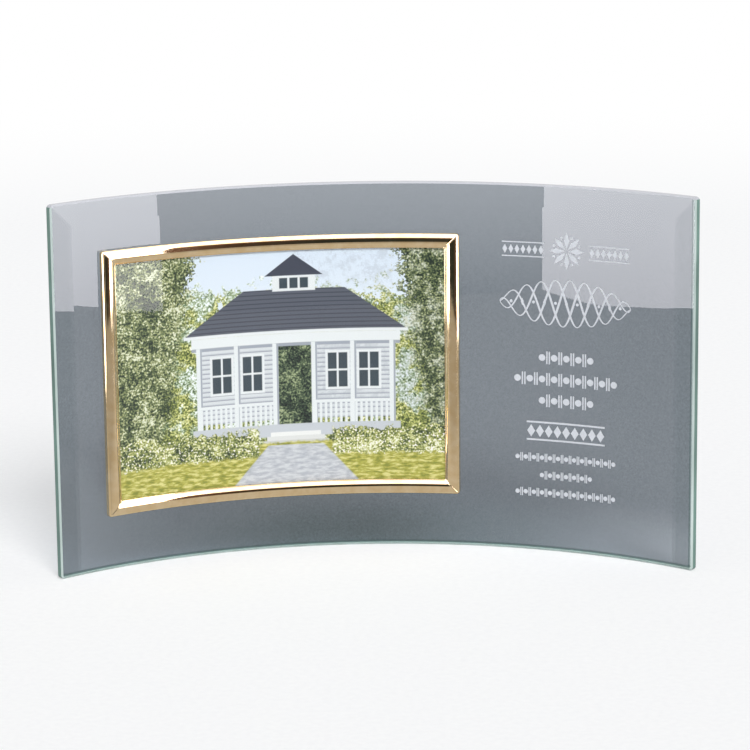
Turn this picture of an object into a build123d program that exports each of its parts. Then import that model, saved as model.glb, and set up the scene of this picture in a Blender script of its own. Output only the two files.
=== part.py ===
from build123d import *
import math
import os

# Curved glass photo frame: a bent, bevelled glass panel that stands on its lower edge,
# with a gold metal bezel taped to the hollow side of the bend. The tape strips keep the
# bezel off the glass, and the pocket between them holds a 7 by 5 inch print between a clear
# cover and a backing card. The pocket is open at the top, where the three sheets slide out.
#
# Lengths are in millimetres and angles in degrees. +Z is up, and the hollow side of the
# panel looks along -Y. The origin is at the middle of the footprint, on the table.
# An angle is measured about the bend axis, from straight back (+Y), and grows towards +X.
# In the bezel's section, "in" is the distance in from its outer edge, along the glass, and
# "rise" is the height above the hollow face of the glass.

# Glass panel
glass_face_radius = 245.0
glass_thickness = 5.0
glass_height = 190.5
glass_half_angle = 40.0
glass_corner_radius = 2.0
bevel_width = 11.3
bevel_depth = 1.2
arris_width = 0.8
arris_depth = 0.7
back_seam = 0.4

# Sheets in the pocket
print_width = 177.8
print_height = 127.0
print_thickness = 0.25
cover_thickness = 0.35
card_thickness = 0.4
spare_height = 4.0
layer_clearance = 0.15
sheet_clearance = 0.3

# Tape strips
tape_width = 3.4
tape_gap = 0.2
bond_line = 0.1

# Bezel
bezel_centre_angle = -11.7
bezel_centre_height = 96.5
lip_overlap = 2.9
skirt_width = 0.8
skirt_clearance = 0.25
rim_width = 1.1
rim_low_rise = 1.9
rim_high_rise = 3.3
rim_bulge_share = 0.3
ridge_rise = 3.95
inner_slope_width = 2.05
nose_width = 0.45
nose_low_rise = 2.0
nose_high_rise = 2.5
nose_bulge_share = 0.3
bezel_corner_radius = 1.6

# Length by which every cutting shape runs past what it cuts
overrun = 0.6

# Sizes that follow from the ones above
glass_back_radius = glass_face_radius + glass_thickness
bevel_edge_radius = glass_face_radius + bevel_depth
land_radius = bevel_edge_radius + arris_depth
axis_y = -(land_radius * math.cos(math.radians(glass_half_angle)) + glass_back_radius) / 2
card_low_rise = layer_clearance
print_low_rise = card_low_rise + card_thickness + layer_clearance
cover_low_rise = print_low_rise + print_thickness + layer_clearance
pocket_depth = cover_low_rise + cover_thickness + layer_clearance
pocket_radius = glass_face_radius - pocket_depth
pocket_wall_in = skirt_width + tape_gap + tape_width
print_edge_in = pocket_wall_in + sheet_clearance
rail_width = print_edge_in + lip_overlap
bezel_width = print_width + 2 * print_edge_in
bezel_height = print_height + 2 * print_edge_in
bezel_low = bezel_centre_height - bezel_height / 2
bezel_high = bezel_centre_height + bezel_height / 2
sheet_low = bezel_low + print_edge_in
ridge_in = rail_width - nose_width - inner_slope_width
nose_in = rail_width - nose_width


def arc_angle(length, radius):
    """Angle, in degrees, that an arc of this length covers."""
    return math.degrees(length / radius)


def at(radius, angle):
    """Plan point at a distance from the bend axis, in a direction."""
    turn = math.radians(angle)
    return (radius * math.sin(turn), axis_y + radius * math.cos(turn))


def arc_between(radius, angle_from, angle_to):
    """Plan arc about the bend axis."""
    middle = (angle_from + angle_to) / 2
    return ThreePointArc(at(radius, angle_from), at(radius, middle), at(radius, angle_to))


def sector(radius_low, radius_high, angle_low, angle_high, low, high):
    """Block bounded by two cylinders about the bend axis, two radial planes and two heights."""
    outline = [
        arc_between(radius_low, angle_low, angle_high),
        Line(at(radius_low, angle_high), at(radius_high, angle_high)),
        arc_between(radius_high, angle_high, angle_low),
        Line(at(radius_high, angle_low), at(radius_low, angle_low)),
    ]
    return Pos(0, 0, low) * extrude(make_face(outline), amount=high - low, dir=(0, 0, 1))


def turned(edges_of, half_angle, centre_angle):
    """Solid made by turning a section about the bend axis. edges_of draws it in a plane."""
    start = centre_angle + half_angle

    def spot(radius, height):
        x, y = at(radius, start)
        return (x, y, height)

    bend_axis = Axis((0, axis_y, 0), (0, 0, 1))
    return revolve(make_face(edges_of(spot)), axis=bend_axis, revolution_arc=2 * half_angle)


def closed_loop(points):
    """Straight edges round a list of points."""
    return [Line(points[i - 1], points[i]) for i in range(len(points))]


def radial_edges(solid):
    """The short edges that run straight through a block towards the bend axis."""
    return solid.edges().filter_by(GeomType.LINE).filter_by(Axis.Z, reverse=True)


def bevel_steps(place):
    """Outline of what a bevel and its arris take off, one edge of the panel at a time.

    place turns a distance in from the panel's edge, and a radius, into a point."""
    return closed_loop([
        place(bevel_width, glass_face_radius),
        place(arris_width, bevel_edge_radius - bevel_depth * arris_width / bevel_width),
        place(0, land_radius),
        place(-overrun, land_radius),
        place(-overrun, glass_face_radius - overrun),
        place(bevel_width, glass_face_radius - overrun),
    ])


def glass_panel():
    """Bent panel with a wide bevel round its hollow face, round corners and a seamed back."""
    body = sector(
        glass_face_radius,
        glass_back_radius,
        -glass_half_angle,
        glass_half_angle,
        0,
        glass_height,
    )
    body = fillet(radial_edges(body), glass_corner_radius)
    back = body.faces().sort_by(lambda face: abs(face.center().Y - axis_y))[-1]
    body = chamfer(back.edges(), back_seam)

    for side in (-1, 1):
        def side_place(inset, radius):
            return at(radius, side * (glass_half_angle - arc_angle(inset, glass_face_radius)))

        body -= extrude(make_face(bevel_steps(side_place)), amount=glass_height, dir=(0, 0, 1))

    past_angle = glass_half_angle + arc_angle(overrun, glass_face_radius)
    for edge_height, inward in ((0, 1), (glass_height, -1)):
        def bevel_section(spot):
            return bevel_steps(lambda inset, radius: spot(radius, edge_height + inward * inset))

        body -= turned(bevel_section, past_angle, 0)
    return body


def bezel_half_angle(inset):
    """Half the angle that the bezel covers, measured this far in from its outer edge."""
    return arc_angle(bezel_width / 2 - inset, pocket_radius)


def bezel_block(inset, rise_low, rise_high):
    """Block over the bezel's outline, drawn in by inset, between two rises."""
    half = bezel_half_angle(inset)
    return sector(
        glass_face_radius - rise_high,
        glass_face_radius - rise_low,
        bezel_centre_angle - half,
        bezel_centre_angle + half,
        bezel_low + inset,
        bezel_high - inset,
    )


def moulded(profile):
    """Block whose four sides follow one profile, so that they meet in mitres.

    profile lists straight runs, as pairs of (in, rise) points, and arcs, as triples,
    from the base to the top."""
    base = profile[0][0]
    top = profile[-1][-1]

    def in_plan(side, inset, rise):
        return at(glass_face_radius - rise, bezel_centre_angle + side * bezel_half_angle(inset))

    def along_sides(place):
        edges = []
        for side in (-1, 1):
            for run in profile:
                points = [place(side, inset, rise) for inset, rise in run]
                edges.append(Line(*points) if len(points) == 2 else ThreePointArc(*points))
        return edges

    def section_edges(spot):
        def in_section(side, inset, rise):
            height = bezel_centre_height + side * (bezel_height / 2 - inset)
            return spot(glass_face_radius - rise, height)

        edges = along_sides(in_section)
        for inset, rise in (top, base):
            edges.append(Line(in_section(-1, inset, rise), in_section(1, inset, rise)))
        return edges

    plan_edges = along_sides(in_plan)
    for inset, rise in (top, base):
        half = bezel_half_angle(inset)
        plan_edges.append(
            arc_between(glass_face_radius - rise, bezel_centre_angle - half, bezel_centre_angle + half)
        )
    upright = Pos(0, 0, bezel_low - overrun) * extrude(
        make_face(plan_edges), amount=bezel_height + 2 * overrun, dir=(0, 0, 1)
    )
    return upright & turned(section_edges, bezel_half_angle(-overrun), bezel_centre_angle)


def bulged(low_point, high_point, corner, share):
    """Arc from one point of a profile to another, pulled towards the corner between them."""
    middle = [(low_point[i] + high_point[i]) / 2 for i in (0, 1)]
    pulled = tuple(middle[i] + (corner[i] - middle[i]) * 2 * share for i in (0, 1))
    return (low_point, pulled, high_point)


def bezel():
    """One-piece metal frame: rounded rim, outer slope up to a ridge, inner slope down to the lip."""
    wall_top = (0, rim_low_rise)
    rim_top = (rim_width, rim_high_rise)
    outer_pitch = (ridge_rise - rim_high_rise) / (ridge_in - rim_width)
    top_rise = ridge_rise + overrun
    outer_profile = [
        ((0, skirt_clearance), wall_top),
        bulged(wall_top, rim_top, (0, rim_high_rise), rim_bulge_share),
        (rim_top, (ridge_in + overrun / outer_pitch, top_rise)),
    ]
    body = moulded(outer_profile)

    rounded = bezel_block(0, 0, top_rise)
    body &= fillet(radial_edges(rounded), bezel_corner_radius)

    lip_top = (rail_width, nose_low_rise)
    slope_foot = (nose_in, nose_high_rise)
    inner_pitch = (ridge_rise - nose_high_rise) / inner_slope_width
    plug_rise = top_rise + overrun
    inner_profile = [
        ((rail_width, 0), lip_top),
        bulged(lip_top, slope_foot, (rail_width, nose_high_rise), nose_bulge_share),
        (slope_foot, (ridge_in - (plug_rise - ridge_rise) / inner_pitch, plug_rise)),
    ]
    body -= moulded(inner_profile)

    body -= bezel_block(skirt_width, 0, pocket_depth)
    slot_half = bezel_half_angle(pocket_wall_in)
    body -= sector(
        pocket_radius,
        glass_face_radius,
        bezel_centre_angle - slot_half,
        bezel_centre_angle + slot_half,
        bezel_high - skirt_width - overrun,
        bezel_high + overrun,
    )
    return body


def tape(angle_low, angle_high, low, high):
    """Strip of foam tape between the glass and the bezel, with a bond line on both its faces."""
    return sector(
        pocket_radius + bond_line,
        glass_face_radius - bond_line,
        bezel_centre_angle + angle_low,
        bezel_centre_angle + angle_high,
        low,
        high,
    )


def side_tape(side):
    """Upright strip of tape at one side of the pocket."""
    outer = side * bezel_half_angle(pocket_wall_in - tape_width)
    inner = side * bezel_half_angle(pocket_wall_in)
    low = bezel_low + pocket_wall_in - tape_width
    high = bezel_high - skirt_width - tape_gap
    return tape(min(outer, inner), max(outer, inner), low, high)


def bottom_tape():
    """Strip of tape under the pocket, between the two upright strips."""
    half = bezel_half_angle(pocket_wall_in)
    return tape(-half, half, bezel_low + pocket_wall_in - tape_width, bezel_low + pocket_wall_in)


def sheet(rise_low, thickness, height):
    """Print-wide sheet bent to the curve of the pocket, standing over the lower tape strip."""
    middle_radius = glass_face_radius - rise_low - thickness / 2
    half = arc_angle(print_width / 2, middle_radius)
    return sector(
        middle_radius - thickness / 2,
        middle_radius + thickness / 2,
        bezel_centre_angle - half,
        bezel_centre_angle + half,
        sheet_low,
        sheet_low + height,
    )


parts = {
    "glass_panel": glass_panel(),
    "bezel": bezel(),
    "tape_left": side_tape(-1),
    "tape_right": side_tape(1),
    "tape_bottom": bottom_tape(),
    "backing_card": sheet(card_low_rise, card_thickness, print_height + spare_height),
    "photo_print": sheet(print_low_rise, print_thickness, print_height),
    "cover_sheet": sheet(cover_low_rise, cover_thickness, print_height + spare_height),
}

os.makedirs("parts", exist_ok=True)
for name, shape in parts.items():
    export_step(shape, f"parts/{name}.step")
    print(name, "solids", len(shape.solids()), "volume", round(shape.volume, 1), "valid", shape.is_valid)
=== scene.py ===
import math

import bmesh
import bpy
from mathutils import Matrix, Vector


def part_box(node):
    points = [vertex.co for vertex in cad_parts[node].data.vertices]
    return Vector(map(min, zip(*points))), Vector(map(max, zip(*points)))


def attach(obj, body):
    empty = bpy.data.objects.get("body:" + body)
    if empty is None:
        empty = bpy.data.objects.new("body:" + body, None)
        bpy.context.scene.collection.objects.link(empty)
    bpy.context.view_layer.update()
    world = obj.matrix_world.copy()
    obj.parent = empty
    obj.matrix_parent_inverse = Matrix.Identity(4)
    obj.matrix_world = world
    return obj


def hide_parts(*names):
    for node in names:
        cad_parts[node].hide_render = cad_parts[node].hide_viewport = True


# Looks of the curved glass photo frame, in metres, in the part's own frame: +Z up, the hollow
# side of the glass towards -Y, the origin at the middle of the footprint.
# "inset" is a distance in from an outer edge along the surface, "rise" a height above the hollow
# face of the glass. Angles are in degrees about the bend axis, from +Y towards +X.

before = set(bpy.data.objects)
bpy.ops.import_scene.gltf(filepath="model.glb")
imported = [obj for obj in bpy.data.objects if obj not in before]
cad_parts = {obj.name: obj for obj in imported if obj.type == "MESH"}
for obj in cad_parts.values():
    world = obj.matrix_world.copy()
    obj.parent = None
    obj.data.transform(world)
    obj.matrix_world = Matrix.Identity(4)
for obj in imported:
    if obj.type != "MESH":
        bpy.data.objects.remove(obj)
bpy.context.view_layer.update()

MM = 0.001
weld_distance = 0.001 * MM

# Glass panel
face_radius = 245 * MM
thickness = 5 * MM
half_angle = 40
glass_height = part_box("glass_panel")[1][2]
corner_radius = 2 * MM
bevel_width = 11.3 * MM
bevel_depth = 1.2 * MM
arris_width = 0.8 * MM
arris_depth = 0.7 * MM
back_seam = 0.4 * MM
# Width of a painted highlight, with a painted dark green line inside it, along the glass's bottom edge and
# right end
rim_highlight_width = 2.1 * MM
# Painted light: the glass edge is a paler grey along the top
top_light_width = 1.2 * MM
top_light_softness = 0.2 * MM
glass_columns = 160
end_columns = 8
corner_steps = 12

# Smoke tint of the glass with painted shade: darker towards its foot, at its right end and on its side
# bevels, lighter towards its top. In shares of its height, or of its bend from left to right
foot_shade_top_share = 0.11
foot_shade_softness_share = 0.07
foot_shade_climb_share = 0.22
foot_shade_climb_reach_share = 0.2
right_shade_start_share = 0.85
right_shade_softness_share = 0.2
right_shade_share = 0.3
side_bevel_shade_share = 0.4
mottle_share = 0.18

# Textures, in waves or cells per metre, and the depth of their relief
mottle_waves = 900
streak_waves = 90
streak_waves_up = 30
plate_waves = 160
ripple_waves = 420
ripple_depth = 0.0015 * MM
fibre_waves = 1800
fibre_depth = 0.02 * MM
pore_cells = 3500
pore_depth = 0.05 * MM
etch_waves = 2600
etch_depth = 0.01 * MM
etch_through_share = 0.35
floor_waves = 300

# Bezel
bezel_angle = -11.7
bezel_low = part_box("bezel")[0][2]
bezel_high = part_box("bezel")[1][2]
bezel_width = 187.2 * MM
pocket_depth = 1.6 * MM
pocket_wall_inset = 4.4 * MM
rail_width = 7.6 * MM
skirt_width = 0.8 * MM
skirt_clearance = 0.25 * MM
rim_low_rise = 1.9 * MM
shoulder_inset = 1.1 * MM
shoulder_rise = 3.3 * MM
shoulder_pitch = 26
ridge_inset = 5.25 * MM
ridge_rise = 3.95 * MM
ridge_round = 1.2 * MM
nose_width = 0.45 * MM
nose_low_rise = 2.0 * MM
nose_high_rise = 2.5 * MM
bezel_corner_radius = 1.6 * MM
mitre_width = 0.5 * MM
mitre_height = 0.13 * MM
bezel_columns = 120
rim_steps = 12
crown_steps = 16
round_steps = 6

# Sheets in the pocket
print_width = 177.8 * MM
print_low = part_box("photo_print")[0][2]
print_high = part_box("photo_print")[1][2]
cover_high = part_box("cover_sheet")[1][2]
card_rises = (0.15 * MM, 0.55 * MM)
print_rises = (0.7 * MM, 0.95 * MM)
cover_rises = (1.1 * MM, 1.45 * MM)

# Etched ornament, on the hollow face
ornament_centre = 100 * MM
ornament_rise = 0.02 * MM
ornament_thickness = 0.03 * MM

# Motifs of the ornament, in millimetres. Reaches go from its centre line to both sides, and
# lozenges are (width, height).
thin_line = 0.55
bold_line = 0.9
line_step = 1.5
dot_corners = 12
rosette_height = 157.5
rosette_petals = 8
petal_start = 1.0
petal_length = 8.4
petal_width = 2.8
petal_dot_radius = 0.65
petal_dot_place_share = 0.75
side_band_start = 12
side_band_end = 34
side_band_rise = 3.6
side_band_count = 7
side_band_lozenge = (2.52, 4.68)
wave_middle = 130.5
wave_reach = 35
wave_height = 12
wave_count = 3
wave_turns = 3
wave_steps = 140
wave_thin = 0.4
wave_thick = 1.15
wave_swell_power = 0.6
wave_dot_radius = 0.8
wave_lozenge = (1.6, 4)
large_rows_top = 102
large_row_pitch = 11.2
large_row_reaches = (19, 26, 19)
large_bead = 6.6
diamond_band_height = 63.5
diamond_band_rise = 4.6
diamond_band_reach = 21
diamond_count = 4
diamond_lozenge = (4.14, 6.44)
small_rows_top = 49.5
small_row_pitch = 9.2
small_row_reaches = (27, 14, 29)
small_bead = 4.4
bead_pitch_share = 0.98
bead_radius_share = 0.27
bar_gap_share = 0.1
bar_width_share = 0.11

# Printed picture, in millimetres up from its lower edge and across from its left one, or, for the
# pavilion, from its middle line. Blocks are (left, low, right, high). Waves are per millimetre.
picture_middle = 98
print_top = 127
noise_middle = 0.5
clump_waves = 0.075
leaf_waves = 0.42
sparkle_waves = 0.95
clump_share = 0.36
leaf_share = 0.32
sparkle_share = 0.32
leaf_steps = (0.415, 0.46, 0.5, 0.54, 0.585)
leaf_softness = 0.8
line_softness = 0.25
far_trees_top = 103
cool_trees_softness = 0.04
leaf_swing = 26
clump_swing = 70
near_trees_knee = 60
near_trees_reach = 63
near_trees_swing = 34
near_trees_lean_share = 0.18
wall_blocks = ((-50, 36, -10, 78), (10, 36, 50, 78))
siding_pitch = 2.4
dapple_clump_share = 0.6
dapple_leaf_share = 0.4
dapple_edge = 0.52
dapple_softness = 0.05
dapple_share = 0.3
window_lefts = (-43, -27, 17, 33)
window_low = 52
window_high = 70
window_width = 10
pane_width = 4.5
pane_pitch = 5.5
sash_low = 60.5
sash_high = 61.5
casing = 1.3
door_block = (-10, 30, 10, 78)
beam_block = (-54, 76, 54, 81)
beam_shadow_block = (-54, 74.4, 54, 76)
post_places = (-50, -30, -10, 10, 30, 50)
post_half = 1.5
post_low = 30
post_shadow = 0.9
rail_blocks = ((-50, 33, -10, 44), (10, 33, 50, 44))
picket_pitch = 2.6
picket_gap_share = 0.5
picket_softness_share = 0.12
handrail = 1.5
slate_pitch = 2.2
roof_corners = ((-58, 82), (58, 82), (26, 104), (-26, 104))
gutter_block = (-58, 81, 58, 82.6)
lantern_block = (-11, 103, 11, 111)
lantern_lefts = (-7.4, -2.1, 3.2)
lantern_low = 104.4
lantern_high = 109.8
lantern_pane = 4.2
lantern_roof_corners = ((-15, 111), (15, 111), (0, 122))
plinth_block = (-54, 27, 54, 33.5)
step_block = (-13, 27, 13, 29.4)
step_count = 3
step_growth = 2
step_height = 2.2
step_tone_drop = 14
lawn_top = 24
lawn_swing = 3
grass_stretch = (0.5, 1.6)
hedge_top = 31
hedge_foot = 17
hedge_swing = 14
hedge_gap = 19
flower_edge = 0.63
flower_softness = 0.03
path_half = 13
path_spread_share = 0.9
path_end = 22.6

# Studio, in metres. The bright cards stand on the right foot and the left foot, which go outwards
# from the ends of the dark card between them.
right_foot = [(0.363, -0.415), (0.453, -0.308), (0.482, -0.260), (0.54, -0.15), (0.55, -0.052)]
left_foot = [(-0.322, -0.526), (-0.365, -0.416), (-0.417, -0.327), (-0.446, -0.260), (-0.50, -0.14)]
front_bend = (0.0, -0.72)
left_screen_foot = [(-0.161, -0.0305), (-0.62, -0.046)]
card_steps = 24
brown_height = 0.35
dark_height = 0.43
card_height = 0.8
overhead_half_width = 0.7
overhead_front = -1.02
overhead_back = 0.7
floor_card_lift = 0.5 * MM
floor_card_gap = 1 * MM
pale_floor_start = -0.12
pale_floor_end = -0.26
floor_radius = 6
floor_drop = 0.05 * MM
floor_fade_reach = 1.1
floor_fade_softness = 0.5
floor_white_share = 0.35
side_card_strength = 6.3
top_card_strength = 2.4
world_strength = 0.45
lamp_strength = 2.7
lamp_width = 24
lamp_direction = (-0.3, 1.15, -0.95)

# Camera. Its angles are azimuth, elevation and roll.
camera_angles = (-0.579, 12.92, -0.604)
camera_distance = 1720.7 * MM
aim_across = 0.457 * MM
aim_height = 90.468 * MM
focal_pixels = 3354.9
picture_pixels = 750
nearest_seen = 0.05
farthest_seen = 50

# Sizes that follow from the ones above
back_radius = face_radius + thickness
land_radius = face_radius + bevel_depth + arris_depth
axis_y = -(land_radius * math.cos(math.radians(half_angle)) + back_radius) / 2
pocket_radius = face_radius - pocket_depth
half_length = math.radians(half_angle) * face_radius
edge_softness = arris_width / 2


def on_bend(angle, radius, height):
    """Point at an angle and a distance from the bend axis."""
    turn = math.radians(angle)
    return Vector((radius * math.sin(turn), axis_y + radius * math.cos(turn), height))


def arc_angle(length, radius):
    """Angle, in degrees, that an arc of this length covers."""
    return math.degrees(length / radius)


def srgb(red, green, blue):
    """Linear colour of the 0 to 255 values that a screen shows."""
    def linear(value):
        share = value / 255
        return share / 12.92 if share <= 0.04045 else ((share + 0.055) / 1.055) ** 2.4

    return (linear(red), linear(green), linear(blue), 1)


# Meshes


def spread(low, high, steps):
    """Evenly spaced values from low to high."""
    return [low + (high - low) * i / steps for i in range(steps + 1)]


def rounded_ring(half_width, half_height, radius, across):
    """Points round a rectangle with round corners, about its centre.

    across gives the places of the points on its long sides, from left to right. Rings whose lists
    are as long as each other's match point by point."""
    wide = half_width - radius
    high = half_height - radius
    points = []
    for quarter, (side_x, side_z) in enumerate(((1, -1), (1, 1), (-1, 1), (-1, -1))):
        for step in spread(0, 90, corner_steps):
            turn = math.radians(-90 + 90 * quarter + step)
            points.append((side_x * wide + radius * math.cos(turn), side_z * high + radius * math.sin(turn)))
        if quarter == 1:
            points += [(u, half_height) for u in reversed(across)]
        if quarter == 3:
            points += [(u, -half_height) for u in across]
    return points


def side_points(columns):
    """Where a ring's upper side and lower side start in its list of points."""
    corner = corner_steps + 1
    return 2 * corner, 4 * corner + columns + 1


def bridge(mesh, first, second, skip=()):
    """Faces between two rings that match point by point. skip lists the gaps left open."""
    count = len(first)
    for i in range(count):
        if i not in skip:
            j = (i + 1) % count
            mesh.faces.new((first[i], first[j], second[j], second[i]))


def finish_mesh(name, mesh, materials, crease=10):
    """Makes an object of a bmesh: welds it, faces it outwards and shades it smooth between creases."""
    bmesh.ops.remove_doubles(mesh, verts=mesh.verts, dist=weld_distance)
    bmesh.ops.recalc_face_normals(mesh, faces=mesh.faces)
    limit = math.radians(crease)
    for edge in mesh.edges:
        edge.smooth = len(edge.link_faces) == 2 and edge.calc_face_angle() < limit
    for face in mesh.faces:
        face.smooth = True
    data = bpy.data.meshes.new(name)
    mesh.to_mesh(data)
    mesh.free()
    for material in materials:
        data.materials.append(material)
    made = bpy.data.objects.new(name, data)
    bpy.context.scene.collection.objects.link(made)
    return made


def glass_rise(inset):
    """How far back the bevelled front of the glass lies, this far in from the nearest edge."""
    if inset < arris_width:
        foot = bevel_depth * (1 - arris_width / bevel_width)
        return foot + (bevel_depth + arris_depth - foot) * (1 - inset / arris_width)
    return bevel_depth * max(0, 1 - inset / bevel_width)


def glass_panel(body_material, arris_material, edge_material):
    """Bent glass panel with a bevel and an arris round its hollow face and a seam round its back."""
    half_height = glass_height / 2
    inner_reach = half_length - bevel_width
    columns = glass_columns + 2 * end_columns
    mesh = bmesh.new()

    def front(u, v):
        inset = min(half_length - abs(u), half_height - abs(v))
        return on_bend(arc_angle(u, face_radius), face_radius + glass_rise(max(inset, 0)), half_height + v)

    def at_radius(radius):
        return lambda u, v: on_bend(arc_angle(u, face_radius), radius, half_height + v)

    def ring(inset, place):
        radius = max(corner_radius - inset, 0)
        ends = spread(inner_reach, half_length - inset - radius, end_columns)[1:]
        across = [-u for u in reversed(ends)] + spread(-inner_reach, inner_reach, glass_columns) + ends
        points = rounded_ring(half_length - inset, half_height - inset, radius, across)
        return [mesh.verts.new(place(*point)) for point in points]

    rings = [
        ring(bevel_width, front),
        ring(corner_radius, front),
        ring(arris_width, front),
        ring(0, front),
        ring(0, at_radius(back_radius - back_seam)),
        ring(back_seam, at_radius(back_radius)),
        ring(corner_radius, at_radius(back_radius)),
    ]
    for i, (first, second) in enumerate(zip(rings, rings[1:])):
        bridge(mesh, first, second)
        for face in list(mesh.faces)[-len(first):]:
            face.material_index = (0, 0, 1, 2, 2, 0)[i]
    top, bottom = side_points(columns)
    for end_ring in (rings[0], rings[-1]):
        upper = end_ring[top: top + columns + 1][::-1]
        lower = end_ring[bottom: bottom + columns + 1]
        for i in range(columns):
            mesh.faces.new((lower[i], lower[i + 1], upper[i + 1], upper[i]))
    return finish_mesh("bent_glass", mesh, [body_material, arris_material, edge_material], crease=4)


def curve_points(start, middle, end, steps):
    """Points of a curve that leaves start towards middle and comes from there to end."""
    points = []
    for share in spread(0, 1, steps):
        rest = 1 - share
        weights = (rest * rest, 2 * rest * share, share * share)
        points.append(tuple(sum(w * p[k] for w, p in zip(weights, (start, middle, end))) for k in (0, 1)))
    return points


def bezel_profile():
    """The bezel's section as (inset, rise) points, from its outer side over the ridge to its lip."""
    nose_inset = rail_width - nose_width
    slope = math.tan(math.radians(shoulder_pitch))
    rim_corner = (0, shoulder_rise - shoulder_inset * slope)
    crown_corner = (shoulder_inset + (ridge_rise - shoulder_rise) / slope, ridge_rise)
    before_ridge = (ridge_inset - ridge_round, ridge_rise)
    inner_slope = (ridge_rise - nose_high_rise) / (nose_inset - ridge_inset)
    after_ridge = (ridge_inset + ridge_round, ridge_rise - ridge_round * inner_slope)
    shoulder = (shoulder_inset, shoulder_rise)
    nose_corner = (rail_width, nose_high_rise)
    return [
        (0, pocket_depth),
        *curve_points((0, rim_low_rise), rim_corner, shoulder, rim_steps),
        *curve_points(shoulder, crown_corner, before_ridge, crown_steps)[1:],
        *curve_points(before_ridge, (ridge_inset, ridge_rise), after_ridge, round_steps)[1:],
        *curve_points((nose_inset, nose_high_rise), nose_corner, (rail_width, nose_low_rise), round_steps),
        (rail_width, pocket_depth),
        (skirt_width, pocket_depth),
    ]


def bezel(material):
    """Gold frame with rounded outer corners and a fine raised bead along each mitre."""
    half_width = bezel_width / 2
    half_height = (bezel_high - bezel_low) / 2
    middle = (bezel_high + bezel_low) / 2
    slot_reach = half_width - pocket_wall_inset
    corner = corner_steps + 1
    top = side_points(bezel_columns)[0]
    starts = (0, corner, top + bezel_columns + 1, top + bezel_columns + 1 + corner)
    mesh = bmesh.new()

    def bead(i, inset, rise):
        """Height of the bead along the mitres, for point i of a ring."""
        if rise <= pocket_depth or inset < bezel_corner_radius - mitre_width:
            return 0
        steps = [i - start for start in starts if 0 <= i - start <= corner_steps]
        return mitre_height * math.sin(math.pi * steps[0] / corner_steps) if steps else 0

    def ring(inset, rise):
        radius = max(bezel_corner_radius - inset, mitre_width)
        reach = min(slot_reach, half_width - inset - radius)
        made = []
        across = spread(-reach, reach, bezel_columns)
        points = rounded_ring(half_width - inset, half_height - inset, radius, across)
        for i, (u, v) in enumerate(points):
            angle = bezel_angle + arc_angle(u, pocket_radius)
            made.append(mesh.verts.new(on_bend(angle, face_radius - rise - bead(i, inset, rise), middle + v)))
        return made

    rings = [ring(*point) for point in bezel_profile()]
    for first, second in zip(rings, rings[1:]):
        bridge(mesh, first, second)
    slot = range(top, top + bezel_columns)
    foot = [rings[-1], ring(skirt_width, skirt_clearance), ring(0, skirt_clearance), rings[0]]
    for first, second in zip(foot, foot[1:]):
        bridge(mesh, first, second, skip=slot)
    for i in slot:
        mesh.faces.new((rings[-1][i], rings[-1][i + 1], rings[0][i + 1], rings[0][i]))
    for i in (slot[0], slot[-1] + 1):
        mesh.faces.new([ring_points[i] for ring_points in foot])
    for ring_points in foot[1:3]:
        for i in slot[1:]:
            mesh.verts.remove(ring_points[i])
    return finish_mesh("gold_bezel", mesh, [material])


def bent_sheet(name, rises, high, materials):
    """Sheet as wide as the print, bent to the curve of the pocket.

    The first material is on its front, the last elsewhere."""
    low_rise, high_rise = rises
    half = arc_angle(print_width / 2, pocket_radius)
    mesh = bmesh.new()
    rows = []
    for rise, height in ((high_rise, print_low), (high_rise, high), (low_rise, high), (low_rise, print_low)):
        rows.append([
            mesh.verts.new(on_bend(bezel_angle + angle, face_radius - rise, height))
            for angle in spread(-half, half, bezel_columns)
        ])
    for first, second, index in zip(rows, rows[1:] + rows[:1], (0, 1, 1, 1)):
        for i in range(bezel_columns):
            face = mesh.faces.new((first[i], first[i + 1], second[i + 1], second[i]))
            face.material_index = min(index, len(materials) - 1)
    for i in (0, bezel_columns):
        mesh.faces.new([row[i] for row in rows]).material_index = len(materials) - 1
    return finish_mesh(name, mesh, materials)


# Etched ornament, drawn in millimetres across from its centre line and up from the floor


def etched_point(mesh, across, up):
    """Vertex on the hollow face, this many millimetres right of the ornament's centre line and up."""
    angle = arc_angle(ornament_centre + across * MM, face_radius)
    return mesh.verts.new(on_bend(angle, face_radius - ornament_rise, up * MM))


def stroke(mesh, points, widths):
    """Ribbon along points, as wide as widths says at each."""
    sides = []
    for i, (x, z) in enumerate(points):
        before = points[max(i - 1, 0)]
        after = points[min(i + 1, len(points) - 1)]
        along = Vector((after[0] - before[0], after[1] - before[1])).normalized()
        half = widths[i] / 2
        sides.append((
            etched_point(mesh, x - along.y * half, z + along.x * half),
            etched_point(mesh, x + along.y * half, z - along.x * half),
        ))
    for (left, right), (next_left, next_right) in zip(sides, sides[1:]):
        mesh.faces.new((left, right, next_right, next_left))


def rule(mesh, start, end, height, width):
    """Level line."""
    points = [(x, height) for x in spread(start, end, max(2, round(abs(end - start) / line_step)))]
    stroke(mesh, points, [width] * len(points))


def shape(mesh, outline):
    """Small filled outline."""
    mesh.faces.new([etched_point(mesh, *point) for point in outline])


def lozenge(mesh, x, z, width, height):
    """Filled diamond."""
    shape(mesh, [(x - width / 2, z), (x, z - height / 2), (x + width / 2, z), (x, z + height / 2)])


def dot(mesh, x, z, radius):
    """Filled circle."""
    turns = [math.radians(a) for a in spread(0, 360, dot_corners)[:-1]]
    shape(mesh, [(x + radius * math.cos(t), z + radius * math.sin(t)) for t in turns])


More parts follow.
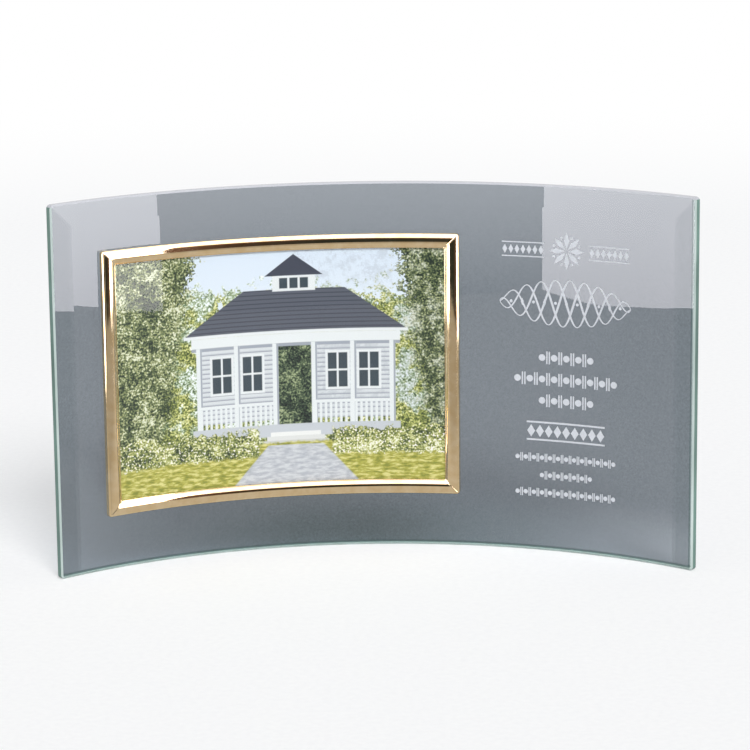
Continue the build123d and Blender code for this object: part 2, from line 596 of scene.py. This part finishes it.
def bead_row(mesh, height, half_width, size):
    """Row of beads with a pair of short bars between them, as wide as half_width allows on both sides."""
    pitch = size * bead_pitch_share
    count = int(half_width // pitch)
    for i in range(-count, count + 1):
        dot(mesh, i * pitch, height, size * bead_radius_share)
        if i < count:
            for side in (-1, 1):
                across = (i + 0.5) * pitch + side * size * bar_gap_share
                ends = [(across, height - size / 2), (across, height + size / 2)]
                stroke(mesh, ends, [size * bar_width_share] * 2)


def rosette(mesh, height):
    """Star of petals with a dot between each two."""
    for i in range(rosette_petals):
        turn = math.radians(360 * i / rosette_petals)
        gap_turn = math.radians(360 * (i + 0.5) / rosette_petals)
        petal = [
            (petal_start, 0), (petal_start + petal_length / 2, petal_width / 2),
            (petal_start + petal_length, 0), (petal_start + petal_length / 2, -petal_width / 2),
        ]
        shape(mesh, [
            (r * math.cos(turn) - s * math.sin(turn), height + r * math.sin(turn) + s * math.cos(turn))
            for r, s in petal
        ])
        dot_reach = petal_start + petal_length * petal_dot_place_share
        dot(mesh, dot_reach * math.cos(gap_turn), height + dot_reach * math.sin(gap_turn), petal_dot_radius)


def wave_band(mesh, height):
    """Crossing waves that die out towards both ends, with a diamond or a dot in each eye."""
    for wave in range(wave_count):
        points = []
        widths = []
        for share in spread(-1, 1, wave_steps):
            swell = math.cos(math.radians(90 * share)) ** wave_swell_power
            turn = 2 * math.pi * (wave_turns * (share + 1) / 2 + wave / wave_count)
            points.append((wave_reach * share, height + wave_height * swell * math.sin(turn)))
            widths.append(wave_thin + (wave_thick - wave_thin) * abs(math.cos(turn)) * swell)
        stroke(mesh, points, widths)
    for i in range(-2 * wave_turns + 1, 2 * wave_turns):
        across = wave_reach * i / (2 * wave_turns)
        if i % 2:
            dot(mesh, across, height, wave_dot_radius)
        else:
            lozenge(mesh, across, height, *wave_lozenge)


def ornament(material):
    """Rosette, crossing waves, a band of diamonds and rows of beads, etched on the right of the glass."""
    mesh = bmesh.new()
    rosette(mesh, rosette_height)
    for side in (-1, 1):
        for lift in (-side_band_rise, side_band_rise):
            rule(mesh, side * side_band_start, side * side_band_end, rosette_height + lift, thin_line)
        for i in range(side_band_count):
            across = side_band_start + (side_band_end - side_band_start) * (i + 0.5) / side_band_count
            lozenge(mesh, side * across, rosette_height, *side_band_lozenge)
    wave_band(mesh, wave_middle)
    for row, reach in enumerate(large_row_reaches):
        bead_row(mesh, large_rows_top - row * large_row_pitch, reach, large_bead)
    for lift in (-diamond_band_rise, diamond_band_rise):
        rule(mesh, -diamond_band_reach, diamond_band_reach, diamond_band_height + lift, bold_line)
    for i in range(-diamond_count, diamond_count + 1):
        across = diamond_band_reach * i / (diamond_count + 0.5)
        lozenge(mesh, across, diamond_band_height, *diamond_lozenge)
    for row, reach in enumerate(small_row_reaches):
        bead_row(mesh, small_rows_top - row * small_row_pitch, reach, small_bead)
    made = finish_mesh("etched_ornament", mesh, [material])
    skin = made.modifiers.new("thickness", "SOLIDIFY")
    skin.thickness = ornament_thickness
    skin.offset = 0
    return made


# Shader nodes


class Field:
    """A value that varies over a surface: the output of a shader node, to reckon with."""

    def __init__(self, tree, socket):
        self.tree = tree
        self.socket = socket

    def maths(self, operation, *others):
        made = self.tree.nodes.new("ShaderNodeMath")
        made.operation = operation
        for slot, value in zip(made.inputs, (self, *others)):
            feed(slot, value)
        return Field(self.tree, made.outputs[0])

    def __add__(self, other):
        return self.maths("ADD", other)

    def __sub__(self, other):
        return self.maths("SUBTRACT", other)

    def __mul__(self, other):
        return self.maths("MULTIPLY", other)

    def __truediv__(self, other):
        return self.maths("DIVIDE", other)

    def low(self, other):
        return self.maths("MINIMUM", other)

    def high(self, other):
        return self.maths("MAXIMUM", other)

    def part(self):
        """The fraction left after the whole number, for stripes that repeat."""
        return self.maths("FRACT")

    def size(self):
        return self.maths("ABSOLUTE")


def feed(slot, value):
    """Gives a node's input a constant or another node's output."""
    if isinstance(value, Field):
        value.tree.links.new(value.socket, slot)
    else:
        slot.default_value = value


def new_material(name):
    """An empty node material and its tree."""
    material = bpy.data.materials.new(name)
    material.use_nodes = True
    tree = material.node_tree
    tree.nodes.clear()
    return material, tree


def dress(material, surface):
    """Gives a material its surface."""
    output = surface.tree.nodes.new("ShaderNodeOutputMaterial")
    feed(output.inputs["Surface"], surface)
    return material


def shader(tree, kind, **values):
    """A shader node with its inputs set. Underscores in the names stand for spaces."""
    made = tree.nodes.new(kind)
    for name, value in values.items():
        feed(made.inputs[name.replace("_", " ")], value)
    return Field(tree, made.outputs[0])


def mixed(share, first, second):
    """Mix of two shaders."""
    made = first.tree.nodes.new("ShaderNodeMixShader")
    for slot, value in zip(made.inputs, (share, first, second)):
        feed(slot, value)
    return Field(first.tree, made.outputs[0])


def place_of(tree):
    """The place on the piece, in metres."""
    return Field(tree, tree.nodes.new("ShaderNodeTexCoord").outputs["Object"])


def met_from_behind(tree):
    """1 where a ray meets the back of a face, and 0 elsewhere."""
    return Field(tree, tree.nodes.new("ShaderNodeNewGeometry").outputs["Backfacing"])


def light_path(tree, *kinds):
    """1 for rays of these kinds, and 0 for others."""
    path = tree.nodes.new("ShaderNodeLightPath")
    found = None
    for kind in kinds:
        one = Field(tree, path.outputs[f"Is {kind} Ray"])
        found = one if found is None else found.high(one)
    return found


def split(vector):
    """The three parts of a vector."""
    made = vector.tree.nodes.new("ShaderNodeSeparateXYZ")
    feed(made.inputs[0], vector)
    return [Field(vector.tree, made.outputs[i]) for i in range(3)]


def bend_place(tree):
    """The angle about the bend axis, in radians, and the height of the place on the piece."""
    across, back, up = split(place_of(tree))
    return across.maths("ARCTAN2", back - axis_y), up


def joined(*parts):
    """A vector of three parts, of which the first varies."""
    tree = parts[0].tree
    made = tree.nodes.new("ShaderNodeCombineXYZ")
    for slot, value in zip(made.inputs, parts):
        feed(slot, value)
    return Field(tree, made.outputs[0])


def noise(spot, scale, detail=3, roughness=0.55):
    """Cloudy value about noise_middle. scale is in waves per unit of spot."""
    return shader(
        spot.tree, "ShaderNodeTexNoise", Vector=spot, Scale=scale, Detail=detail, Roughness=roughness
    )


def cells(spot, scale):
    """Distance from the middle of irregular cells, in cell widths."""
    return shader(spot.tree, "ShaderNodeTexVoronoi", Vector=spot, Scale=scale)


def ramp(value, *stops):
    """Colour that follows a value. Stops are (value, red, green, blue), with colours from 0 to 255."""
    made = value.tree.nodes.new("ShaderNodeValToRGB")
    elements = made.color_ramp.elements
    while len(elements) < len(stops):
        elements.new(0)
    for element, (position, *colour) in zip(elements, stops):
        element.position = position
        element.color = srgb(*colour)
    feed(made.inputs[0], value)
    return Field(value.tree, made.outputs[0])


def between(value, low, high, first, last, smooth=False):
    """A number that goes from first to last as value goes from low to high."""
    made = value.tree.nodes.new("ShaderNodeMapRange")
    if smooth:
        made.interpolation_type = "SMOOTHSTEP"
    names = ("Value", "From Min", "From Max", "To Min", "To Max")
    for name, number in zip(names, (value, low, high, first, last)):
        feed(made.inputs[name], number)
    return Field(value.tree, made.outputs[0])


def above(value, edge, softness):
    """Share from 0 to 1 as a value passes an edge."""
    return between(value, edge - softness, edge + softness, 0, 1, smooth=True)


def over(base, share, colour):
    """Colour laid over another where share is 1."""
    made = share.tree.nodes.new("ShaderNodeMix")
    made.data_type = "RGBA"
    feed(made.inputs[0], share)
    feed(made.inputs[6], base)
    feed(made.inputs[7], colour)
    return Field(share.tree, made.outputs[2])


def bumped(height, depth):
    """Surface normal of a bump of this depth, in metres."""
    return shader(height.tree, "ShaderNodeBump", Distance=depth, Height=height)


def embossed(tree, colour, height, depth, roughness):
    """Opaque surface with a fine relief."""
    normal = bumped(height, depth)
    return shader(tree, "ShaderNodeBsdfPrincipled", Base_Color=colour, Roughness=roughness, Normal=normal)


# Materials


def glass_material():
    """Smoke-grey clear glass with a faint mottle and painted shade: darker towards its foot, most a little
    left of the middle of the bend and reaching higher at its left end, lighter towards its top, darker at its
    right end and on its side bevels. A painted highlight with a painted dark line inside it runs along its
    bottom edge and its right end. Lamps shine through it.
    """
    material, tree = new_material("smoke_glass")
    mottle = between(noise(place_of(tree), mottle_waves, detail=2), 0.35, 0.65, 0, mottle_share)
    turn, up = bend_place(tree)
    height = up / glass_height
    share = between(turn, -math.radians(half_angle), math.radians(half_angle), 0, 1)
    # Painted shade near the foot: darkest a little left of the middle of the bend, lighter towards both ends
    foot = ramp(
        share, (0.04, 153, 161, 168), (0.2, 132, 142, 149), (0.38, 104, 117, 121),
        (0.5, 101, 114, 118), (0.72, 136, 146, 152), (0.85, 159, 167, 174),
    )
    # Painted shade above the foot: lighter towards the top and darker at the right end. The foot's shade
    # climbs higher at the left end
    body = ramp(height, (0.7, 128, 135, 142), (1.0, 164, 170, 176))
    on_right = above(share, right_shade_start_share, right_shade_softness_share)
    body = over(body, on_right * right_shade_share, srgb(98, 108, 116))
    climb = between(share, 0, foot_shade_climb_reach_share, foot_shade_climb_share, 0)
    shaded_smoke = over(foot, above(height - climb, foot_shade_top_share, foot_shade_softness_share), body)
    # Painted shade: a darker strip on each side bevel
    from_side = turn.size() * -face_radius + half_length
    from_top = up * -1 + glass_height
    on_side = above(from_side * -1, -bevel_width, edge_softness)
    on_side = on_side.low(above(from_top - from_side, 0, edge_softness))
    shaded_smoke = over(shaded_smoke, on_side * side_bevel_shade_share, srgb(104, 116, 122))
    # Painted highlight and painted dark line along the bottom edge and the right end
    from_rim = up.low(turn * -face_radius + half_length)
    rim_highlight = ramp(from_rim / rim_highlight_width, (0.42, 235, 255, 246), (0.75, 62, 92, 88))
    on_rim_highlight = above(from_rim * -1, -rim_highlight_width, edge_softness)
    shaded_tint = over(over(shaded_smoke, mottle, srgb(176, 182, 190)), on_rim_highlight, rim_highlight)
    glass = shader(
        tree, "ShaderNodeBsdfPrincipled", Base_Color=shaded_tint, Roughness=0.0, IOR=1.5, Transmission_Weight=1.0
    )
    clear = shader(tree, "ShaderNodeBsdfTransparent", Color=srgb(160, 167, 173))
    return dress(material, mixed(light_path(tree, "Shadow"), glass, clear))


def edge_material(name, light, dark):
    """Polished edge of the glass, streaked along it, with painted light: a paler grey along its top."""
    material, tree = new_material(name)
    across, back, up = split(place_of(tree))
    streaks = noise(joined(across * streak_waves, back * streak_waves, up * streak_waves_up), 1, detail=2)
    # Painted light: paler grey along the top edge
    on_lit_top = above(up, glass_height - top_light_width, top_light_softness)
    colour = over(ramp(streaks, (0.3, *dark), (0.7, *light)), on_lit_top, srgb(178, 180, 187))
    surface = shader(tree, "ShaderNodeBsdfPrincipled", Base_Color=colour, Roughness=0.12, IOR=1.5)
    return dress(material, surface)


def gold_material():
    """Polished gold plate with faint drawing marks and tiny ripples."""
    material, tree = new_material("gold_plate")
    cloud = noise(place_of(tree), plate_waves)
    surface = shader(
        tree,
        "ShaderNodeBsdfPrincipled",
        Base_Color=ramp(cloud, (0.35, 234, 208, 164), (0.65, 242, 220, 182)),
        Metallic=1.0,
        Roughness=between(cloud, 0.3, 0.7, 0.05, 0.08),
        Normal=bumped(noise(place_of(tree), ripple_waves, detail=2), ripple_depth),
    )
    return dress(material, surface)


def film_material():
    """Clear cover film: its outer face only adds a glossy reflection to what is behind it."""
    material, tree = new_material("clear_film")
    share = shader(tree, "ShaderNodeFresnel", IOR=1.45).low(met_from_behind(tree) * -1 + 1)
    clear = shader(tree, "ShaderNodeBsdfTransparent", Color=(0.97, 0.98, 0.98, 1))
    gloss = shader(tree, "ShaderNodeBsdfGlossy", Roughness=0.03)
    return dress(material, mixed(share, clear, gloss))


def fibre_material(name, light, dark, roughness):
    """Paper or board with a fine fibre texture."""
    material, tree = new_material(name)
    fibre = noise(place_of(tree), fibre_waves, detail=4, roughness=0.7)
    colour = ramp(fibre, (0.35, *dark), (0.65, *light))
    return dress(material, embossed(tree, colour, fibre, fibre_depth, roughness))


def foam_material():
    """White foam mounting tape with fine pores, their hollows painted darker as shade."""
    material, tree = new_material("foam_tape")
    pores = cells(place_of(tree), pore_cells)
    # Painted shade: darker in the hollows of the pores
    colour = ramp(pores, (0.1, 198, 198, 194), (0.5, 232, 232, 228))
    return dress(material, embossed(tree, colour, pores, pore_depth, roughness=0.85))


def etch_material():
    """Frosted, slightly blue-white mark on the glass, which lets some light through."""
    material, tree = new_material("frosted_etch")
    grain = noise(place_of(tree), etch_waves)
    colour = ramp(grain, (0.3, 208, 211, 217), (0.7, 230, 233, 239))
    surface = embossed(tree, colour, grain, etch_depth, roughness=0.75)
    through = shader(tree, "ShaderNodeBsdfTranslucent", Color=colour)
    return dress(material, mixed(etch_through_share, surface, through))


# The printed picture, in millimetres right and up from its lower left corner


def half_plane(spot, start, end):
    """Distance to the left of the line from start to end. spot is (right, up, 1)."""
    run = end[0] - start[0]
    climb = end[1] - start[1]
    length = math.hypot(run, climb)
    made = spot.tree.nodes.new("ShaderNodeVectorMath")
    made.operation = "DOT_PRODUCT"
    feed(made.inputs[0], spot)
    made.inputs[1].default_value = (
        -climb / length, run / length, (climb * start[0] - run * start[1]) / length
    )
    return Field(spot.tree, made.outputs["Value"])


def inside(spot, corners):
    """Share inside an outline without hollows, whose corners go anticlockwise."""
    nearest = None
    for start, end in zip(corners, corners[1:] + corners[:1]):
        distance = half_plane(spot, start, end)
        nearest = distance if nearest is None else nearest.low(distance)
    return above(nearest, 0, line_softness)


class Picture:
    """The picture while it is painted, layer over layer."""

    def __init__(self, tree):
        turn, up = bend_place(tree)
        self.right = (turn - math.radians(bezel_angle)) * (pocket_radius / MM) + print_width / MM / 2
        self.up = (up - print_low) / MM
        self.spot = joined(self.right, self.up, 1)
        self.clumps = noise(self.spot, clump_waves, detail=5, roughness=0.68)
        self.leaves = noise(self.spot, leaf_waves, roughness=0.7)
        self.sparkle = noise(self.spot, sparkle_waves, detail=1)
        self.leafage = self.clumps * clump_share + self.leaves * leaf_share + self.sparkle * sparkle_share
        self.colour = srgb(236, 241, 247)

    def lay(self, share, colour):
        """Paints a colour where share is 1."""
        self.colour = over(self.colour, share, colour)

    def outline(self, corners, colour, stripes=None):
        """Paints an outline without hollows, whose corners go anticlockwise from the pavilion's middle.

        Where stripes are given, only what they cover of it is painted."""
        share = inside(self.spot, [(picture_middle + x, z) for x, z in corners])
        self.lay(share.low(stripes) if stripes else share, colour)

    def block(self, left, low, right, high, colour, stripes=None):
        """Paints a rectangle, measured from the pavilion's middle."""
        self.outline([(left, low), (right, low), (right, high), (left, high)], colour, stripes)

    def leafy(self, *tones):
        """Leaves in five tones, from the deep shade to the light between them."""
        return ramp(self.leafage, *((step, *tone) for step, tone in zip(leaf_steps, tones)))

    def around(self, number, swing):
        """A number that goes up and down with the leaves."""
        return (self.leaves - noise_middle) * swing + number


def paint_trees(picture):
    """Sky, a row of trees behind the pavilion and darker trees at both sides."""
    sky = ramp(picture.up / print_top, (0.6, 228, 232, 238), (1.0, 212, 221, 234))
    picture.lay(above(picture.up, 0, line_softness), sky)
    yellow = picture.leafy((72, 82, 48), (126, 136, 70), (184, 184, 106), (226, 222, 160), (250, 247, 236))
    cool = picture.leafy((56, 70, 60), (98, 116, 84), (144, 160, 120), (198, 208, 188), (242, 244, 248))
    leaves = over(yellow, above(picture.clumps, noise_middle, cool_trees_softness), cool)
    top = picture.around(far_trees_top, leaf_swing) + (picture.clumps - noise_middle) * clump_swing
    picture.lay(above(top - picture.up, 0, leaf_softness), leaves)
    dark = picture.leafy((38, 48, 40), (66, 78, 56), (108, 118, 78), (164, 168, 118), (226, 226, 204))
    slant = (picture.up - near_trees_knee) * near_trees_lean_share
    sides = (picture.right - picture_middle).size() + slant - near_trees_reach
    picture.lay(above(picture.around(0, near_trees_swing) + sides, 0, leaf_softness), dark)


def paint_pavilion(picture):
    """White pavilion with windows, a veranda and a slate roof."""
    white = srgb(226, 227, 228)
    grey = srgb(160, 164, 174)
    shade = srgb(66, 76, 84)
    siding = (picture.up / siding_pitch).part()
    slats = ramp(siding, (0.0, 132, 135, 148), (0.26, 190, 193, 200), (0.5, 213, 214, 217))
    for wall in wall_blocks:
        picture.block(*wall, slats)
    dapple = picture.clumps * dapple_clump_share + picture.leaves * dapple_leaf_share
    dapple = above(dapple, dapple_edge, dapple_softness) * dapple_share
    picture.lay(dapple.low(above(picture.right, picture_middle, line_softness)), grey)
    for left in window_lefts:
        right = left + window_width
        picture.block(left - casing, window_low - casing, right + casing, window_high + casing, white)
        for pane in (0, pane_pitch):
            picture.block(left + pane, window_low, left + pane + pane_width, window_high, shade)
        picture.block(left, sash_low, right, sash_high, white)
    door = picture.leafy((28, 36, 34), (48, 60, 52), (78, 92, 70), (120, 132, 96), (168, 176, 140))
    picture.block(*door_block, door)
    picture.block(*beam_block, white)
    picture.block(*beam_shadow_block, grey)
    for middle in post_places:
        right = middle + post_half
        picture.block(middle - post_half, post_low, right, beam_block[1], white)
        picture.block(right - post_shadow, post_low, right, beam_block[1], grey)
    pickets = above((picture.right / picket_pitch).part(), picket_gap_share, picket_softness_share)
    for left, low, right, high in rail_blocks:
        picture.block(left, low, right, high, white, pickets)
        picture.block(left, high, right, high + handrail, white)
    slates = ramp((picture.up / slate_pitch).part(), (0.0, 58, 60, 72), (0.35, 92, 95, 106))
    picture.outline(roof_corners, slates)
    picture.block(*gutter_block, white)
    picture.block(*lantern_block, white)
    for left in lantern_lefts:
        picture.block(left, lantern_low, left + lantern_pane, lantern_high, shade)
    picture.outline(lantern_roof_corners, srgb(70, 73, 86))


def paint_garden(picture):
    """Ground in front of the pavilion: a plinth with steps, lawn, hedges in flower and a path."""
    picture.block(*plinth_block, srgb(196, 198, 204))
    left, low, right, high = step_block
    for i in range(step_count):
        grow = step_growth * i
        drop = step_height * i
        fade = step_tone_drop * i
        tone = srgb(232 - fade, 230 - fade, 228 - fade)
        picture.block(left - grow, low - drop, right + grow, high - drop, tone)
    stretch_right, stretch_up = grass_stretch
    grass = noise(joined(picture.right * stretch_right, picture.up * stretch_up, 0), leaf_waves, detail=4)
    lawn = ramp(grass, (0.36, 132, 136, 58), (0.5, 176, 170, 78), (0.62, 216, 208, 138))
    picture.lay(above(picture.around(lawn_top, lawn_swing) - picture.up, 0, leaf_softness), lawn)
    away = (picture.right - picture_middle).size()
    top = picture.around(hedge_top, hedge_swing) + (picture.clumps - noise_middle) * hedge_swing
    hedge = above(top - picture.up, 0, leaf_softness)
    hedge = hedge.low(above(picture.around(picture.up - hedge_foot, hedge_swing / 2), 0, leaf_softness))
    hedge = hedge.low(above(away, hedge_gap, leaf_softness))
    green = picture.leafy((48, 58, 44), (92, 104, 62), (146, 152, 84), (198, 196, 128), (236, 234, 210))
    picture.lay(hedge, green)
    picture.lay(hedge.low(above(picture.sparkle, flower_edge, flower_softness)), srgb(244, 236, 242))
    gravel = ramp(grass, (0.4, 176, 177, 185), (0.6, 206, 206, 209))
    path = above((picture.up * -1 + lawn_top) * path_spread_share + path_half - away, 0, leaf_softness)
    picture.lay(path.low(above(picture.up * -1, -path_end, line_softness)), gravel)


def picture_material():
    """Print of a white garden pavilion among trees, with a lawn, a path and hedges."""
    material, tree = new_material("printed_picture")
    picture = Picture(tree)
    paint_trees(picture)
    paint_pavilion(picture)
    paint_garden(picture)
    return dress(material, shader(
        tree, "ShaderNodeBsdfPrincipled", Base_Color=picture.colour, Roughness=0.45, Specular_IOR_Level=0.2
    ))


# Studio


def studio_world():
    """White surroundings for the camera, metal and glass, and softer light from all round."""
    world = bpy.data.worlds.new("studio")
    bpy.context.scene.world = world
    world.use_nodes = True
    tree = world.node_tree
    tree.nodes.clear()
    output = tree.nodes.new("ShaderNodeOutputWorld")
    light = shader(tree, "ShaderNodeBackground", Color=(1, 1, 1, 1), Strength=world_strength)
    white = shader(tree, "ShaderNodeBackground", Color=(1, 1, 1, 1), Strength=1.0)
    seen = light_path(tree, "Camera", "Glossy", "Transmission")
    feed(output.inputs["Surface"], mixed(seen, light, white))


def studio_floor():
    """Pale floor, which keeps a soft shadow and fades into the white surroundings."""
    material, tree = new_material("pale_floor")
    across, back = split(place_of(tree))[:2]
    fade = above((across * across + back * back).maths("SQRT"), floor_fade_reach, floor_fade_softness)
    grain = noise(place_of(tree), floor_waves)
    colour = ramp(grain, (0.3, 241, 242, 244), (0.7, 247, 248, 249))
    paper = shader(tree, "ShaderNodeBsdfDiffuse", Color=colour)
    white = shader(tree, "ShaderNodeEmission", Strength=1.0)
    seen = light_path(tree, "Camera", "Glossy", "Transmission")
    dress(material, mixed(between(seen, 0, 1, 0, floor_white_share).high(fade), paper, white))
    mesh = bmesh.new()
    bmesh.ops.create_circle(mesh, cap_ends=True, segments=96, radius=floor_radius)
    floor = finish_mesh("floor", mesh, [material])
    floor.location.z = -floor_drop


def glowing(name, colour, strength):
    """Material of a studio card of one colour."""
    material, tree = new_material(name)
    return dress(material, shader(tree, "ShaderNodeEmission", Color=colour, Strength=strength))


def dark_cloth():
    """Material of the dark card, browner towards its right end and its top."""
    material, tree = new_material("dark_cloth")
    parts = split(place_of(tree))
    share = between(parts[0], left_foot[0][0], right_foot[0][0], 0, 1)
    shade = ramp(share, (0.0, 60, 62, 60), (0.6, 46, 50, 48), (0.84, 76, 64, 58), (1.0, 126, 98, 90))
    shade = over(shade, above(parts[2], brown_height, dark_height - brown_height), srgb(158, 122, 98))
    return dress(material, shader(tree, "ShaderNodeEmission", Color=shade, Strength=1.0))


def floor_cloth():
    """Material of the cards on the floor, paler close to the glass."""
    material, tree = new_material("floor_cloth")
    share = between(split(place_of(tree))[1], pale_floor_end, pale_floor_start, 0, 1)
    shade = ramp(share, (0.0, 176, 172, 166), (1.0, 204, 200, 194))
    return dress(material, shader(tree, "ShaderNodeEmission", Color=shade, Strength=1.0))


def screen_cloth():
    """Material of the screens: white for rays that come from behind the frame, and clear for the others."""
    material, tree = new_material("screen_cloth")
    clear = shader(tree, "ShaderNodeBsdfTransparent")
    white = shader(tree, "ShaderNodeEmission", Strength=1.0)
    return dress(material, mixed(met_from_behind(tree), clear, white))


def reflected_card(name, material, *lines):
    """Studio card between two lines, which are (floor points, height). Only metal and glass show it."""
    mesh = bmesh.new()
    first, second = [[mesh.verts.new((x, y, height)) for x, y in points] for points, height in lines]
    for i in range(len(first) - 1):
        mesh.faces.new((first[i], first[i + 1], second[i + 1], second[i]))
    card = finish_mesh(name, mesh, [material], crease=60)
    card.visible_camera = False
    card.visible_diffuse = False
    card.visible_transmission = False
    card.visible_shadow = False


def studio_cards():
    """Cards in front of the frame: bright at both sides and above, dark between them, grey on the floor.

    Screens beside the glass keep the bright cards out of its back."""
    bright = glowing("bright_card", (1, 0.96, 1, 1), side_card_strength)
    for name, foot in (("left_card", left_foot), ("right_card", right_foot)):
        reflected_card(name, bright, (foot, 0), (foot, card_height))
    front = curve_points(left_foot[0], front_bend, right_foot[0], card_steps)
    reflected_card("dark_card", dark_cloth(), (front, 0), (front, dark_height))
    above_front = glowing("front_card", (1, 1, 1, 1), top_card_strength)
    reflected_card("front_card", above_front, (front, dark_height), (front, card_height))
    front_edge, back_edge = (
        [(-overhead_half_width, y), (overhead_half_width, y)] for y in (overhead_front, overhead_back)
    )
    overhead = glowing("overhead_card", (1, 1, 1, 1), top_card_strength)
    reflected_card("overhead_card", overhead, (front_edge, card_height), (back_edge, card_height))
    turns = spread(-half_angle, half_angle, card_steps)
    inner = [on_bend(angle, face_radius - floor_card_gap, 0)[:2] for angle in turns]
    cloth = floor_cloth()
    for name, near, far in (
        ("floor_card", inner, front),
        ("left_floor_card", [inner[0]] * len(left_foot), left_foot),
        ("right_floor_card", [inner[-1]] * len(right_foot), right_foot),
    ):
        reflected_card(name, cloth, (near, floor_card_lift), (far, floor_card_lift))
    screen = screen_cloth()
    right_screen_foot = [(-x, y) for x, y in reversed(left_screen_foot)]
    for name, foot in (("left_screen", left_screen_foot), ("right_screen", right_screen_foot)):
        reflected_card(name, screen, (foot, 0), (foot, card_height))


def key_lamp():
    """Soft lamp from above and in front, which throws the frame's shadow behind it."""
    data = bpy.data.lights.new("key_lamp", "SUN")
    data.energy = lamp_strength
    data.angle = math.radians(lamp_width)
    lamp = bpy.data.objects.new("key_lamp", data)
    lamp.rotation_mode = "QUATERNION"
    lamp.rotation_quaternion = Vector(lamp_direction).to_track_quat("-Z", "Y")
    lamp.visible_glossy = False
    bpy.context.scene.collection.objects.link(lamp)


def camera():
    """The photograph's viewpoint, from its own angles and distance."""
    azimuth, elevation, roll = (math.radians(a) for a in camera_angles)
    target = Vector((aim_across, axis_y + face_radius, aim_height))
    back = Vector((
        math.sin(azimuth) * math.cos(elevation), -math.cos(azimuth) * math.cos(elevation), math.sin(elevation)
    ))
    level = Vector((0, 0, 1)).cross(back).normalized()
    upward = back.cross(level)
    right = level * math.cos(roll) + upward * math.sin(roll)
    up = upward * math.cos(roll) - level * math.sin(roll)
    data = bpy.data.cameras.new("camera")
    data.lens = data.sensor_width * focal_pixels / picture_pixels
    data.clip_start = nearest_seen
    data.clip_end = farthest_seen
    made = bpy.data.objects.new("camera", data)
    turn = Matrix((right, up, back)).transposed().to_4x4()
    made.matrix_world = Matrix.Translation(target + back * camera_distance) @ turn
    bpy.context.scene.collection.objects.link(made)
    bpy.context.scene.camera = made


def stand_in(piece, body, node):
    """Sets a piece on its body in place of its CAD node."""
    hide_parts(node)
    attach(piece, body)


camera()
studio_world()
studio_floor()
studio_cards()
key_lamp()

green_edge = edge_material("green_edge", (104, 138, 128), (76, 104, 96))
# The arris is a paler copy of the green edge glass: a painted highlight
highlit_arris = edge_material("highlit_arris", (188, 200, 198), (158, 174, 170))
stand_in(glass_panel(glass_material(), highlit_arris, green_edge), "panel", "glass_panel")
stand_in(bezel(gold_material()), "panel", "bezel")
board = fibre_material("backing_board", (84, 82, 80), (58, 57, 56), roughness=0.8)
paper = fibre_material("photo_paper", (238, 238, 236), (226, 226, 224), roughness=0.5)
printed = [picture_material(), paper]
film = film_material()
stand_in(bent_sheet("backing_board", card_rises, cover_high, [board]), "backing", "backing_card")
stand_in(bent_sheet("picture_print", print_rises, print_high, printed), "photo", "photo_print")
stand_in(bent_sheet("clear_cover", cover_rises, cover_high, [film]), "cover", "cover_sheet")
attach(ornament(etch_material()), "panel")

foam = foam_material()
for node in ("tape_left", "tape_right", "tape_bottom"):
    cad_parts[node].data.materials.clear()
    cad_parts[node].data.materials.append(foam)

bpy.context.scene.view_settings.view_transform = "Standard"
